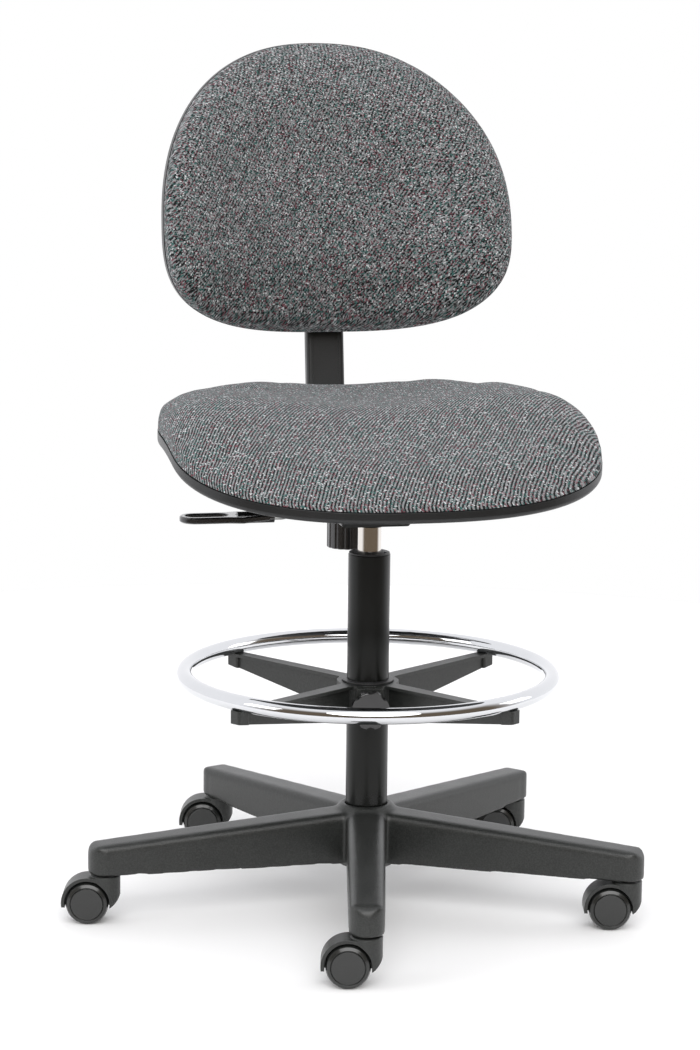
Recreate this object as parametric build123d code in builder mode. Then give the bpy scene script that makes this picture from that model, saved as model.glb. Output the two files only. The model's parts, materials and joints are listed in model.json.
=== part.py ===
from build123d import *
import os
from math import copysign, cos, radians, sin, tan

# A drafting chair on a five-arm castored base: gas lift, clamped foot ring, waterfall seat on a
# steel mechanism, and a curved backrest that slides on a bent back bar. Millimetres, +Z up.
# The origin is on the floor under the swivel axis, and a sitter faces -Y.

# ---------------------------------------------------------------- driving dimensions
FIT = 0.05           # gap of a close fit between pieces that don't move
RUN = 0.08           # radial clearance of a running fit
SLIDE = 0.3          # gap between faces that slide or turn past each other
PLATE_T = 3.0        # wall of pressed steel and of moulded shells

# star base and castors
ARMS = 5
BASE_TURN = -13.0    # turn of the base and castors about the swivel axis, degrees
STEM_CIRCLE = 322.0  # swivel axis to castor stem
ARM_REACH = 342.0
ARM_ROOT_HALF = 23.5
ARM_TIP_HALF = 20.0
ARM_WALL = 4.5
ARM_EDGE_R = 9.0     # rounding along the tops of the arms
TIP_R = 16.0         # rounding of an arm's end seen from the side
HUB_TOP = 122.0
HUB_BOTTOM = 46.0
ARM_ROOT_TOP = 116.0
ARM_TIP_TOP = 94.0
ARM_ROOT_FLOOR = 52.0
ARM_TIP_FLOOR = 59.0
WHEEL_R = 25.0
WHEEL_OUTER = 20.0   # half the width over both wheels
WHEEL_INNER = 4.5
TRAIL = 20.0         # stem axis to axle
FENDER_HALF = 15.5
FENDER_R = 30.5
NECK_R = 18.0
NECK_TOP = 57.0
STEM_R = 5.5
STEM_DEPTH = 27.0    # stem above the arm's floor
AXLE_R = 3.0

# gas lift
TUBE_R = 25.0
TUBE_WALL = 2.0
TUBE_TOP = 425.0
TUBE_BOTTOM = 38.0
TAPER = 0.0251       # radius lost for each millimetre of the standard 1:20 cone
TAPER_START = 135.0
ROD_R = 5.0
ROD_FOOT_R = 4.0     # the rod steps down to pass through the bearing
CYLINDER_R = 14.0
CYLINDER_WALL = 2.0
CYLINDER_BOTTOM = 75.0
CYLINDER_TOP = 508.0
SOCKET_BOTTOM = 458.0
STROKE = 250.0
BUSHING_LENGTH = 95.0
VALVE_R = 3.0
VALVE_TOP = 514.0
VALVE_GAP = 1.0      # between the valve pin and the lever's pad at rest

# foot ring
RING_TURN = -10.0
RING_R = 219.0
RING_TUBE_R = 9.5
RING_TUBE_WALL = 1.5
RING_HEIGHT = 279.0
SPOKES = 4
SPOKE_WIDTH = 15.0
SPOKE_WEB = 8.0
SPOKE_FLANGE_T = 4.0
SPOKE_TIP_HEIGHT = 15.0
COLLAR_R = 37.0
COLLAR_HEIGHT = 43.0
SLEEVE_WALL = 3.0
CLAMP_HEIGHT = 249.0
CLAMP_STUD_R = 4.0
CLAMP_KNOB_R = 22.5

# seat
SEAT_HALF = 252.0
SEAT_FRONT = -248.0
SEAT_REAR = 205.0
SEAT_WIDEST = -65.0
SEAT_FLOOR = 556.0   # underside of the seat shell where it is level
FRONT_FLOOR = 500.0  # the same at the front edge
KNEE_Y = -46.0
KNEE_R = 300.0
SHELL_RIM = 14.0
RIM_R = 5.0          # rounding of the shells' outer edges
CUSHION_T = 33.0     # foam over the rear half

# mechanism under the seat
PLATE_TOP = 545.0
PLATE_SIZE = (150.0, 190.0)
PLATE_MID_Y = 35.0
BOLT_SPACING = (116.0, 154.0)
BOLT_R = 4.0
HOUSING_HALF = 42.0
HOUSING_FLOOR = 462.0
HOUSING_REAR = 140.0
SOCKET_R = 20.0
LEVER_PIVOT_X = -31.0
LEVER_PIVOT_Z = 523.0
LEVER_R = 4.0
HANDLE_Z = 472.0
HANDLE_INNER = -122.0
HANDLE_OUTER = -232.0
HANDLE_HALF = 23.0

# back bar and backrest
BAR_WIDTH = 40.0
BAR_T = 8.0
BAR_Z = 474.0
BAR_FRONT = 48.0
BAR_BEND_R = 42.0
LEAN = 8.0           # backward lean of the upright, degrees
BAR_CORNER_Y = 236.0
BAR_TOP_Z = 885.0
COVER_WIDTH = 48.0
COVER_T = 18.0
COVER_SPAN = (545.0, 692.0)
DEPTH_KNOB_Y = 118.0
KNOB_R = 25.0
KNOB_TOP = 450.0
KNOB_BOTTOM = 412.0
BACK_HALF = 216.0
BACK_BOTTOM = 664.0
BACK_TOP = 1019.0
BACK_WIDEST = 796.0
BACK_RIM_BOTTOM_Y = 231.0
BACK_RIM_TOP_Y = 315.0
BACK_CURVE_R = 480.0  # the backrest wraps round the sitter at this radius
BACK_SHELL_D = 16.0
BACK_CUSHION_T = 44.0
BRACKET_SPAN = (745.0, 855.0)
BRACKET_WIDTH = 56.0
BRACKET_T = 24.0
BRACKET_FLANGE = 100.0
BRACKET_SCREW_GRID = (80.0, 80.0)
BACK_KNOB_R = 22.0

os.makedirs("parts", exist_ok=True)


def save(piece, label):
    """Labels a finished piece and writes it as its own STEP file."""
    piece.label = label
    export_step(piece, f"parts/{label}.step")


def blunt_oval(half_width, low, high, widest, low_power, high_power, count=28):
    """Points of a closed oval between low and high, blunter than an ellipse as its powers pass 2."""
    points = []
    for step in range(count):
        angle = radians(360 * step / count)
        across, along = cos(angle), sin(angle)
        power, reach = (high_power, high - widest) if along > 0 else (low_power, widest - low)
        x = copysign(half_width * abs(across) ** (2 / power), across)
        y = widest + copysign(reach * abs(along) ** (2 / power), along)
        points.append((x, y))
    return points


def arm_angle(index):
    """Direction of a base arm, degrees about Z. Arm 0 points to the front."""
    return BASE_TURN - 90 + index * 360 / ARMS


def tube_radius(z):
    """Outside radius of the lift's tube, straight above and coned below."""
    return TUBE_R - TAPER * max(0.0, TAPER_START - z)


def cylinder_radius(z):
    """Outside radius of the gas cylinder, coned inside the mechanism's socket."""
    return CYLINDER_R - TAPER * max(0.0, z - SOCKET_BOTTOM)


def fluted_disc(radius, flutes, flute_r):
    """A round outline with shallow finger flutes, added to the open sketch."""
    Circle(radius)
    with PolarLocations(radius + 0.62 * flute_r, flutes):
        Circle(flute_r, mode=Mode.SUBTRACT)


# ---------------------------------------------------------------- star base
with BuildPart() as base_arm:
    # lofted between two upright sections with rounded tops
    for reach, half, low, high in (
        (ARM_ROOT_HALF / 2, ARM_ROOT_HALF, ARM_ROOT_FLOOR, ARM_ROOT_TOP),
        (ARM_REACH, ARM_TIP_HALF, ARM_TIP_FLOOR, ARM_TIP_TOP),
    ):
        with BuildSketch(Plane.YZ.offset(reach)) as section:
            with Locations((0, (low + high) / 2)):
                Rectangle(2 * half, high - low)
            fillet(section.vertices().group_by(Axis.Y)[-1], ARM_EDGE_R)
    loft()

with BuildPart() as star_base:
    # turned hub with a soft shoulder above and a lip below
    with BuildSketch(Plane.XZ):
        with BuildLine():
            Polyline(
                (0, HUB_BOTTOM),
                (COLLAR_R - 2, HUB_BOTTOM),
                (COLLAR_R - 2, ARM_ROOT_TOP),
                (COLLAR_R - 7, HUB_TOP),
                (0, HUB_TOP),
                close=True,
            )
        make_face()
    revolve(axis=Axis.Z)
    with PolarLocations(0, ARMS, start_angle=arm_angle(0)):
        add(base_arm.part)
    # round the arms' ends in plan and from the side
    with BuildSketch() as tip_plan:
        Circle(STEM_CIRCLE - 10)
        with PolarLocations(STEM_CIRCLE, ARMS, start_angle=arm_angle(0)):
            Circle(ARM_REACH - STEM_CIRCLE)
            Rectangle(30, 2 * (ARM_REACH - STEM_CIRCLE), align=(Align.MAX, Align.CENTER))
    extrude(amount=HUB_TOP, mode=Mode.INTERSECT)
    with BuildSketch(Plane.XZ) as star_side:
        with BuildLine():
            Polyline(
                (0, HUB_BOTTOM - 1),
                (ARM_REACH + 1, HUB_BOTTOM - 1),
                (ARM_REACH + 1, ARM_TIP_TOP + 1),
                (ARM_REACH - 17, ARM_TIP_TOP + 1),
                (COLLAR_R, HUB_TOP),
                (0, HUB_TOP),
                close=True,
            )
        make_face()
        fillet(star_side.vertices().filter_by(
            lambda v: v.X > ARM_REACH and v.Y > ARM_TIP_TOP), TIP_R)
    revolve(axis=Axis.Z, mode=Mode.INTERSECT)
    # pockets that make each arm a ribbed channel, open below
    with BuildSketch() as pockets:
        stations = ((50, 128), (132, 212), (216, 296))
        for start, end in stations:
            def half_at(r):
                return ARM_ROOT_HALF + (ARM_TIP_HALF - ARM_ROOT_HALF) * r / ARM_REACH - ARM_WALL
            with PolarLocations(0, ARMS, start_angle=arm_angle(0)):
                Polygon(
                    (start, -half_at(start)),
                    (end, -half_at(end)),
                    (end, half_at(end)),
                    (start, half_at(start)),
                    align=None,
                )
    extrude(amount=ARM_TIP_TOP - ARM_WALL - 4, mode=Mode.SUBTRACT)
    # coned bore for the lift, and a socket at each arm's end for a castor stem
    with BuildSketch(Plane.XZ):
        with BuildLine():
            Polyline(
                (0, HUB_BOTTOM - 1),
                (tube_radius(HUB_BOTTOM - 1) + FIT, HUB_BOTTOM - 1),
                (tube_radius(HUB_TOP + 1) + FIT, HUB_TOP + 1),
                (0, HUB_TOP + 1),
                close=True,
            )
        make_face()
    revolve(axis=Axis.Z, mode=Mode.SUBTRACT)
    with BuildSketch():
        with PolarLocations(STEM_CIRCLE, ARMS, start_angle=arm_angle(0)):
            Circle(STEM_R + 0.15)
    extrude(amount=ARM_TIP_FLOOR + STEM_DEPTH, mode=Mode.SUBTRACT)
save(star_base.part, "star_base")

# ---------------------------------------------------------------- castors
stem_top = ARM_TIP_FLOOR + STEM_DEPTH - 1
with BuildPart() as stem:
    with BuildSketch(Plane.XY.offset(NECK_TOP - 9)):
        Circle(STEM_R)
    extrude(amount=stem_top - NECK_TOP + 9)
    chamfer(stem.edges().group_by(Axis.Z)[-1], 1.5)
    # groove that the grip ring sits in
    with BuildSketch(Plane.XY.offset(stem_top - 10)):
        Circle(STEM_R)
        Circle(STEM_R - 1.2, mode=Mode.SUBTRACT)
    extrude(amount=5, mode=Mode.SUBTRACT)

with BuildPart() as grip_ring:
    with BuildSketch(Plane.XY.offset(stem_top - 9.8)):
        Circle(STEM_R + 0.15)
        Circle(STEM_R - 1.1, mode=Mode.SUBTRACT)
        with Locations((STEM_R, 0)):
            Rectangle(STEM_R, 2, mode=Mode.SUBTRACT)
    extrude(amount=4.6)

with BuildPart() as hood:
    with BuildSketch(Plane.XZ) as fender_side:
        with Locations((-TRAIL, WHEEL_R)):
            Circle(FENDER_R)
        with Locations((-TRAIL, WHEEL_R - 5 - FENDER_R)):
            Rectangle(4 * FENDER_R, 2 * FENDER_R, mode=Mode.SUBTRACT)
    extrude(amount=FENDER_HALF, both=True)
    with BuildSketch(Plane.XY.offset(WHEEL_R - 5)):
        Circle(NECK_R)
    extrude(amount=NECK_TOP - WHEEL_R + 5)
    chamfer(hood.faces().sort_by(Axis.Z)[-1].edges(), 1.2)
    # round the neck's lower front corner
    with BuildSketch(Plane.XZ):
        with BuildLine():
            Line((NECK_R + 1, WHEEL_R - 6), (NECK_R + 1, WHEEL_R + 12))
            ThreePointArc(
                (NECK_R + 1, WHEEL_R + 12), (NECK_R - 4, WHEEL_R + 1), (NECK_R - 13, WHEEL_R - 6)
            )
            Line((NECK_R - 13, WHEEL_R - 6), (NECK_R + 1, WHEEL_R - 6))
        make_face()
    extrude(amount=NECK_R + 1, both=True, mode=Mode.SUBTRACT)
    # room for the wheels, one each side of the middle web
    for side in (-1, 1):
        with BuildSketch(Plane.XZ.offset(side * (WHEEL_INNER - 1.5))):
            with Locations((-TRAIL, WHEEL_R)):
                Circle(WHEEL_R + 1.6)
        extrude(amount=side * NECK_R, mode=Mode.SUBTRACT)
    with BuildSketch(Plane.XZ):
        with Locations((-TRAIL, WHEEL_R)):
            Circle(AXLE_R + FIT)
    extrude(amount=NECK_R, both=True, mode=Mode.SUBTRACT)
    with BuildSketch(Plane.XY.offset(NECK_TOP - 9.3)):
        Circle(STEM_R + RUN)
    extrude(amount=20, mode=Mode.SUBTRACT)

with BuildPart() as wheel:
    # turned about the axle along Y: a tyre-shaped rim, a face disc and a hub
    with BuildSketch(Plane.XY) as wheel_half:
        with BuildLine():
            Polyline(
                (AXLE_R + RUN, WHEEL_INNER),
                (AXLE_R + 3.5, WHEEL_INNER),
                (AXLE_R + 3.5, WHEEL_OUTER - 5),
                (WHEEL_R - 4, WHEEL_OUTER - 6),
                (WHEEL_R - 4, WHEEL_INNER),
                (WHEEL_R - 1.2, WHEEL_INNER),
                (WHEEL_R, WHEEL_INNER + 1.2),
                (WHEEL_R, WHEEL_OUTER - 6),
                (WHEEL_R - 1.6, WHEEL_OUTER - 2.5),
                (WHEEL_R - 5, WHEEL_OUTER - 0.8),
                (WHEEL_R - 6, WHEEL_OUTER - 1.6),
                (WHEEL_R - 6.6, WHEEL_OUTER),
                (0, WHEEL_OUTER),
                (0, WHEEL_OUTER - 2.5),
                (AXLE_R + RUN, WHEEL_OUTER - 2.5),
                close=True,
            )
        make_face()
    revolve(axis=Axis.Y)

with BuildPart() as axle:
    with BuildSketch(Plane.XZ):
        Circle(AXLE_R)
    extrude(amount=WHEEL_OUTER - 2.8, both=True)
    chamfer(axle.edges().filter_by(GeomType.CIRCLE), 0.5)

stems, rings = [], []
for index in range(ARMS):
    angle = radians(arm_angle(index))
    spot = Location((STEM_CIRCLE * cos(angle), STEM_CIRCLE * sin(angle), 0), (0, 0, BASE_TURN))
    at_axle = spot * Location((-TRAIL, 0, WHEEL_R))
    stems.append(stem.part.moved(spot))
    rings.append(grip_ring.part.moved(spot))
    save(hood.part.moved(spot), f"castor_hood_{index + 1}")
    save(axle.part.moved(at_axle), f"castor_axle_{index + 1}")
    save(wheel.part.moved(at_axle), f"castor_wheel_{index + 1}b")
    save(wheel.part.moved(at_axle * Location((0, 0, 0), (0, 0, 180))), f"castor_wheel_{index + 1}a")
save(Compound(children=stems), "castor_stems")
save(Compound(children=rings), "stem_grip_rings")

# ---------------------------------------------------------------- gas lift
bore_r = TUBE_R - TUBE_WALL
tube_foot_r = tube_radius(TUBE_BOTTOM) - TUBE_WALL - 1
with BuildPart() as column_tube:
    with BuildSketch(Plane.XZ):
        with BuildLine():
            Polyline(
                (TUBE_R, TUBE_TOP),
                (TUBE_R, TAPER_START),
                (tube_radius(TUBE_BOTTOM), TUBE_BOTTOM),
                (ROD_FOOT_R + RUN, TUBE_BOTTOM),
                (ROD_FOOT_R + RUN, TUBE_BOTTOM + 4),
                (tube_foot_r, TUBE_BOTTOM + 4),
                (tube_foot_r, TAPER_START),
                (bore_r, TAPER_START + 12),
                (bore_r, TUBE_TOP),
                close=True,
            )
        make_face()
    revolve(axis=Axis.Z)
    chamfer(column_tube.faces().sort_by(Axis.Z)[-1].outer_wire().edges(), 0.8)
save(column_tube.part, "column_tube")

with BuildPart() as guide_bushing:
    with BuildSketch(Plane.XZ):
        with BuildLine():
            Polyline(
                (CYLINDER_R + RUN, TUBE_TOP - BUSHING_LENGTH),
                (bore_r - FIT, TUBE_TOP - BUSHING_LENGTH),
                (bore_r - FIT, TUBE_TOP),
                (bore_r + 1.2, TUBE_TOP),
                (bore_r + 1.2, TUBE_TOP + 1.5),
                (CYLINDER_R + 2.5, TUBE_TOP + 3.5),
                (CYLINDER_R + RUN, TUBE_TOP + 3.5),
                close=True,
            )
        make_face()
    revolve(axis=Axis.Z)
    # gripping notches round the flange
    with BuildSketch(Plane.XY.offset(TUBE_TOP + 0.8)):
        with PolarLocations(bore_r - 2.5, 6, start_angle=20):
            SlotCenterToCenter(4, 2.2, rotation=90)
    extrude(amount=4, mode=Mode.SUBTRACT)
save(guide_bushing.part, "guide_bushing")

WASHER_R, WASHER_T, BALL_R = 11.0, 2.0, 2.3
washer_z = TUBE_BOTTOM + 4
race_z = washer_z + WASHER_T + 2 * BALL_R + 0.1
for label, z in (("bearing_lower_washer", washer_z), ("bearing_upper_washer", race_z)):
    with BuildPart() as washer:
        with BuildSketch(Plane.XY.offset(z)):
            Circle(WASHER_R)
            Circle(ROD_FOOT_R + FIT, mode=Mode.SUBTRACT)
        extrude(amount=WASHER_T)
    save(washer.part, label)

with BuildPart() as bearing_balls:
    with Locations((0, 0, washer_z + WASHER_T + BALL_R + 0.05)):
        with PolarLocations((WASHER_R + ROD_FOOT_R) / 2, 9):
            Sphere(BALL_R)
save(bearing_balls.part, "bearing_balls")

bump_z = race_z + WASHER_T
with BuildPart() as bump_stop:
    with BuildSketch(Plane.XY.offset(bump_z)):
        Circle(CYLINDER_R - 1)
        Circle(ROD_R + FIT, mode=Mode.SUBTRACT)
    extrude(amount=CYLINDER_BOTTOM - bump_z - 1)
    chamfer(bump_stop.edges().group_by(Axis.Z)[-1], 2)
save(bump_stop.part, "bump_stop")

rod_foot = TUBE_BOTTOM - 8
piston_z = CYLINDER_BOTTOM + 19 + STROKE + 8
with BuildPart() as piston_rod:
    with BuildSketch(Plane.XZ):
        with BuildLine():
            Polyline(
                (0, rod_foot),
                (ROD_FOOT_R - 1, rod_foot),
                (ROD_FOOT_R, rod_foot + 1),
                (ROD_FOOT_R, TUBE_BOTTOM - 2.6),
                (ROD_FOOT_R - 0.9, TUBE_BOTTOM - 2.6),
                (ROD_FOOT_R - 0.9, TUBE_BOTTOM - 0.8),
                (ROD_FOOT_R, TUBE_BOTTOM - 0.8),
                (ROD_FOOT_R, bump_z),
                (ROD_R, bump_z),
                (ROD_R, piston_z),
                (CYLINDER_R - CYLINDER_WALL - RUN, piston_z),
                (CYLINDER_R - CYLINDER_WALL - RUN, piston_z + 12),
                (0, piston_z + 12),
                close=True,
            )
        make_face()
    revolve(axis=Axis.Z)
save(piston_rod.part, "piston_rod")

with BuildPart() as rod_clip:
    with BuildSketch(Plane.XY.offset(TUBE_BOTTOM - 2.5)):
        Circle(ROD_FOOT_R + 3.5)
        Circle(ROD_FOOT_R - 0.9 + FIT, mode=Mode.SUBTRACT)
        with Locations((ROD_FOOT_R + 2, 0)):
            Rectangle(ROD_FOOT_R + 6, 2 * ROD_FOOT_R - 3, mode=Mode.SUBTRACT)
    extrude(amount=1.6)
save(rod_clip.part, "rod_clip")

chamber_r = CYLINDER_R - CYLINDER_WALL
chamber_top = CYLINDER_TOP - 40
with BuildPart() as gas_cylinder:
    with BuildSketch(Plane.XZ):
        with BuildLine():
            Polyline(
                (chamber_r, CYLINDER_BOTTOM),
                (CYLINDER_R - 1, CYLINDER_BOTTOM),
                (CYLINDER_R, CYLINDER_BOTTOM + 1),
                (CYLINDER_R, SOCKET_BOTTOM),
                (cylinder_radius(CYLINDER_TOP), CYLINDER_TOP),
                (VALVE_R + RUN, CYLINDER_TOP),
                (VALVE_R + RUN, chamber_top),
                (chamber_r, chamber_top),
                close=True,
            )
        make_face()
    revolve(axis=Axis.Z)
save(gas_cylinder.part, "gas_cylinder")

with BuildPart() as cylinder_gland:
    with BuildSketch(Plane.XY.offset(CYLINDER_BOTTOM + 1)):
        Circle(chamber_r - FIT)
        Circle(ROD_R + RUN, mode=Mode.SUBTRACT)
    extrude(amount=18)
save(cylinder_gland.part, "cylinder_gland")

with BuildPart() as valve_pin:
    with BuildSketch(Plane.XY.offset(chamber_top - 12)):
        Circle(VALVE_R)
    extrude(amount=VALVE_TOP - chamber_top + 12)
    fillet(valve_pin.edges().group_by(Axis.Z)[-1], 1)
save(valve_pin.part, "valve_pin")

# ---------------------------------------------------------------- foot ring
collar_top = RING_HEIGHT - RING_TUBE_R + 1.5
collar_floor = collar_top - COLLAR_HEIGHT
sleeve_r = TUBE_R + RUN + SLEEVE_WALL
with BuildPart() as footring_sleeve:
    with BuildSketch(Plane.XZ):
        with BuildLine():
            Polyline(
                (TUBE_R + RUN, collar_floor + 3),
                (sleeve_r, collar_floor + 3),
                (sleeve_r, collar_top + SLIDE),
                (sleeve_r + 3, collar_top + SLIDE),
                (sleeve_r + 3, collar_top + 2.2),
                (TUBE_R + RUN, collar_top + 2.8),
                close=True,
            )
        make_face()
    revolve(axis=Axis.Z)
save(footring_sleeve.part, "footring_sleeve")

with BuildPart() as footring_tube:
    with Locations((0, 0, RING_HEIGHT)):
        Torus(RING_R, RING_TUBE_R)
        Torus(RING_R, RING_TUBE_R - RING_TUBE_WALL, mode=Mode.SUBTRACT)
    with BuildSketch(Plane.XY.offset(RING_HEIGHT - RING_TUBE_R - 1)):
        with PolarLocations(RING_R, SPOKES, start_angle=RING_TURN + 45):
            Circle(2.6)
    extrude(amount=5, mode=Mode.SUBTRACT)
save(footring_tube.part, "footring_tube")

spoke_end = RING_R + 9
front_dir = radians(RING_TURN - 90)
clamp_plane = Plane(
    origin=(0, 0, CLAMP_HEIGHT), x_dir=(-sin(front_dir), cos(front_dir), 0),
    z_dir=(cos(front_dir), sin(front_dir), 0),
)
with BuildPart() as footring_spider:
    # a deep web under each spoke's flange, rising from the collar to the ring
    with BuildSketch(Plane.XY.offset(collar_floor)):
        Circle(COLLAR_R)
        with PolarLocations(0, SPOKES, start_angle=RING_TURN + 45):
            Rectangle(spoke_end - 1, SPOKE_WEB, align=(Align.MIN, Align.CENTER))
        with PolarLocations(RING_R, SPOKES, start_angle=RING_TURN + 45):
            RectangleRounded(18, SPOKE_WIDTH, 3)
        with PolarLocations(COLLAR_R + 3, 1, start_angle=RING_TURN - 90):
            Rectangle(16, 32)
    extrude(amount=COLLAR_HEIGHT)
    with BuildSketch(Plane.XZ):
        with BuildLine():
            Polyline(
                (0, collar_floor),
                (COLLAR_R + 14, collar_floor),
                (spoke_end + 1, collar_top - SPOKE_TIP_HEIGHT),
                (spoke_end + 1, collar_top),
                (0, collar_top),
                close=True,
            )
        make_face()
    revolve(axis=Axis.Z, mode=Mode.INTERSECT)
    with BuildSketch(Plane.XY.offset(collar_top - SPOKE_FLANGE_T)) as flange_plan:
        Circle(COLLAR_R)
        with PolarLocations(0, SPOKES, start_angle=RING_TURN + 45):
            Polygon(
                (0, -SPOKE_WIDTH / 2 - 2),
                (spoke_end, -SPOKE_WIDTH / 2),
                (spoke_end, SPOKE_WIDTH / 2),
                (0, SPOKE_WIDTH / 2 + 2),
                align=None,
            )
        inner = flange_plan.vertices().filter_by(lambda v: Vector(v.X, v.Y).length < RING_R / 2)
        fillet(inner, 5)
        outer = flange_plan.vertices().filter_by(lambda v: Vector(v.X, v.Y).length > RING_R)
        fillet(outer, 3)
    extrude(amount=SPOKE_FLANGE_T)
    with Locations((0, 0, RING_HEIGHT)):
        Torus(RING_R, RING_TUBE_R + FIT, mode=Mode.SUBTRACT)
    with BuildSketch(Plane.XY.offset(collar_floor)):
        Circle(sleeve_r + RUN)
    extrude(amount=COLLAR_HEIGHT, mode=Mode.SUBTRACT)
    # screw holes up through the spoke ends, counterbored below
    with BuildSketch(Plane.XY.offset(collar_floor)):
        with PolarLocations(RING_R, SPOKES, start_angle=RING_TURN + 45):
            Circle(2.6)
    extrude(amount=COLLAR_HEIGHT, mode=Mode.SUBTRACT)
    with BuildSketch(Plane.XY.offset(collar_floor)):
        with PolarLocations(RING_R, SPOKES, start_angle=RING_TURN + 45):
            Circle(4.8)
    extrude(amount=COLLAR_HEIGHT - SPOKE_TIP_HEIGHT + 5, mode=Mode.SUBTRACT)
    # drop-in pocket for the clamp nut, and the clamp stud's hole
    with BuildSketch(Plane.XY.offset(CLAMP_HEIGHT - 8.4)):
        with PolarLocations(COLLAR_R + 2.5, 1, start_angle=RING_TURN - 90):
            Rectangle(7.2, 16.6)
    extrude(amount=COLLAR_HEIGHT, mode=Mode.SUBTRACT)
    with BuildSketch(clamp_plane):
        Circle(CLAMP_STUD_R + RUN)
    extrude(amount=COLLAR_R + 20, mode=Mode.SUBTRACT)
save(footring_spider.part, "footring_spider")

with BuildPart() as footring_screws:
    screw_head = collar_top - SPOKE_TIP_HEIGHT + 5
    with BuildSketch(Plane.XY.offset(screw_head - 3)):
        with PolarLocations(RING_R, SPOKES, start_angle=RING_TURN + 45):
            Circle(4.4)
    extrude(amount=3)
    with BuildSketch(Plane.XY.offset(screw_head)):
        with PolarLocations(RING_R, SPOKES, start_angle=RING_TURN + 45):
            Circle(2.4)
    extrude(amount=RING_HEIGHT - RING_TUBE_R + 5 - screw_head)
    with BuildSketch(Plane.XY.offset(screw_head - 3)):
        with PolarLocations(RING_R, SPOKES, start_angle=RING_TURN + 45):
            RegularPolygon(2, 6)
    extrude(amount=1.8, mode=Mode.SUBTRACT)
save(footring_screws.part, "footring_screws")

with BuildPart() as footring_nut:
    with BuildSketch(clamp_plane.offset(COLLAR_R - 0.6)):
        Rectangle(16, 16)
        Circle(CLAMP_STUD_R + RUN, mode=Mode.SUBTRACT)
    extrude(amount=6.2)
save(footring_nut.part, "footring_nut")

clamp_seat = COLLAR_R + 14
with BuildPart() as footring_stud:
    with BuildSketch(clamp_plane.offset(sleeve_r + SLIDE)):
        Circle(CLAMP_STUD_R)
    extrude(amount=clamp_seat + 8 - sleeve_r)
    chamfer(footring_stud.edges().filter_by(GeomType.CIRCLE), 0.6)
save(footring_stud.part, "footring_stud")

with BuildPart() as footring_knob:
    with BuildSketch(clamp_plane.offset(clamp_seat)):
        Circle(9)
    extrude(amount=5)
    with BuildSketch(clamp_plane.offset(clamp_seat + 5)):
        fluted_disc(CLAMP_KNOB_R, 8, 7)
    extrude(amount=13)
    knob_face = footring_knob.faces().sort_by(SortBy.DISTANCE)[-1]
    fillet(knob_face.outer_wire().edges(), 2.5)
    with BuildSketch(clamp_plane.offset(clamp_seat - 1)):
        Circle(CLAMP_STUD_R + FIT)
    extrude(amount=9.4, mode=Mode.SUBTRACT)
save(footring_knob.part, "footring_knob")

# ---------------------------------------------------------------- mechanism
plate_floor = PLATE_TOP - 3.5
with BuildPart() as mechanism_plate:
    with BuildSketch(Plane.XY.offset(plate_floor)):
        with Locations((0, PLATE_MID_Y)):
            RectangleRounded(*PLATE_SIZE, 14)
            with GridLocations(*BOLT_SPACING, 2, 2):
                SlotCenterToCenter(7, 2 * BOLT_R + 1, mode=Mode.SUBTRACT)
    extrude(amount=3.5)
    # two ears that hang down to hold the lever's pin
    for side in (-1, 1):
        with BuildSketch(Plane.XZ.offset(-side * 9.0)):
            with Locations((LEVER_PIVOT_X, (LEVER_PIVOT_Z + plate_floor) / 2)):
                Rectangle(14, plate_floor - LEVER_PIVOT_Z)
            with Locations((LEVER_PIVOT_X, LEVER_PIVOT_Z)):
                Circle(7)
                Circle(2.5 + FIT, mode=Mode.SUBTRACT)
        extrude(amount=-side * 3)
save(mechanism_plate.part, "mechanism_plate")

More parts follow.
